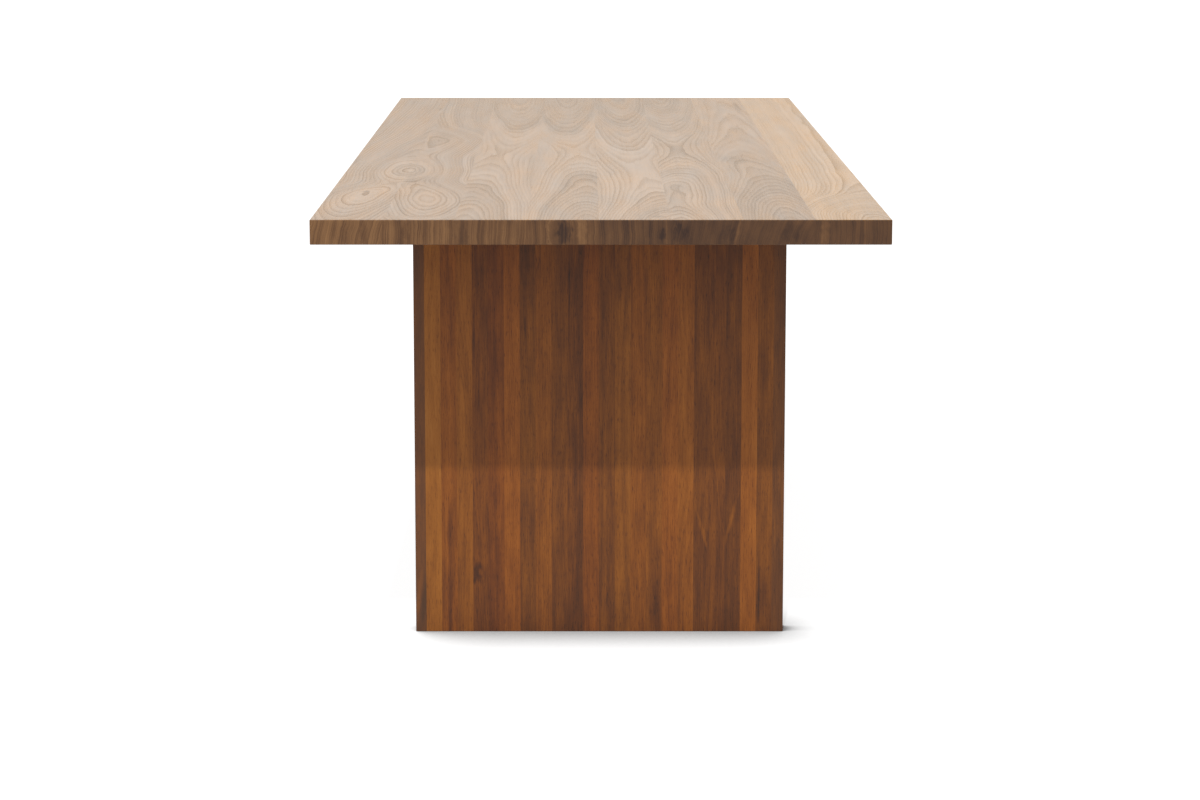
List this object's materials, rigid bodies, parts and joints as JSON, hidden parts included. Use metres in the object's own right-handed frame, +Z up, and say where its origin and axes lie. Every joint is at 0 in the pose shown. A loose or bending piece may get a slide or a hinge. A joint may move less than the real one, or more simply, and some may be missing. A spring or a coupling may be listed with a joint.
{
  "type": "dining table",
  "caption": "Rectangular solid-wood dining table: a plank top, edge-glued from long boards, on two wide panel legs of upright staves set in from the ends.",
  "frame": {"origin": "on the floor, under the middle of the table", "axes": "+Y runs along the table's length, away from the front end; +X runs across its width; +Z is up"},
  "size_m": [0.9, 2.2, 0.74],
  "materials": {
    "walnut_top": "satin oiled walnut, flat-sawn boards",
    "walnut_pale": "satin oiled walnut, orange-brown stave",
    "walnut_mid": "satin oiled walnut, mid-brown stave",
    "walnut_dark": "satin oiled walnut, dark red-brown stave",
    "walnut_grey": "satin oiled walnut, grey-brown edge stave",
    "black_steel": "satin black powder coat",
    "zinc_plate": "bright zinc plate"
  },
  "bodies": {
    "root": {"top_board_1": "walnut_top", "top_board_2": "walnut_top", "top_board_3": "walnut_top", "top_board_4": "walnut_top", "top_board_5": "walnut_top", "top_board_6": "walnut_top", "top_board_7": "walnut_top", "top_board_8": "walnut_top", "front_leg_stave_01": "walnut_grey", "front_leg_stave_02": "walnut_pale", "front_leg_stave_03": "walnut_mid", "front_leg_stave_04": "walnut_pale", "front_leg_stave_05": "walnut_dark", "front_leg_stave_06": "walnut_dark", "front_leg_stave_07": "walnut_pale", "front_leg_stave_08": "walnut_mid", "front_leg_stave_09": "walnut_dark", "front_leg_stave_10": "walnut_dark", "front_leg_stave_11": "walnut_mid", "front_leg_stave_12": "walnut_mid", "front_leg_stave_13": "walnut_pale", "front_leg_stave_14": "walnut_pale", "front_leg_stave_15": "walnut_dark", "front_leg_stave_16": "walnut_dark", "front_leg_stave_17": "walnut_pale", "front_leg_stave_18": "walnut_mid", "rear_leg_stave_01": "walnut_grey", "rear_leg_stave_02": "walnut_pale", "rear_leg_stave_03": "walnut_mid", "rear_leg_stave_04": "walnut_pale", "rear_leg_stave_05": "walnut_dark", "rear_leg_stave_06": "walnut_dark", "rear_leg_stave_07": "walnut_pale", "rear_leg_stave_08": "walnut_mid", "rear_leg_stave_09": "walnut_dark", "rear_leg_stave_10": "walnut_dark", "rear_leg_stave_11": "walnut_mid", "rear_leg_stave_12": "walnut_mid", "rear_leg_stave_13": "walnut_pale", "rear_leg_stave_14": "walnut_pale", "rear_leg_stave_15": "walnut_dark", "rear_leg_stave_16": "walnut_dark", "rear_leg_stave_17": "walnut_pale", "rear_leg_stave_18": "walnut_mid", "front_steel_angle": "black_steel", "rear_steel_angle": "black_steel", "front_leg_screw_1": "zinc_plate", "front_leg_screw_2": "zinc_plate", "front_leg_screw_3": "zinc_plate", "front_top_screw_1": "zinc_plate", "front_top_screw_2": "zinc_plate", "front_top_screw_3": "zinc_plate", "front_top_screw_4": "zinc_plate", "rear_leg_screw_1": "zinc_plate", "rear_leg_screw_2": "zinc_plate", "rear_leg_screw_3": "zinc_plate", "rear_top_screw_1": "zinc_plate", "rear_top_screw_2": "zinc_plate", "rear_top_screw_3": "zinc_plate", "rear_top_screw_4": "zinc_plate"}
  },
  "joints": []
}
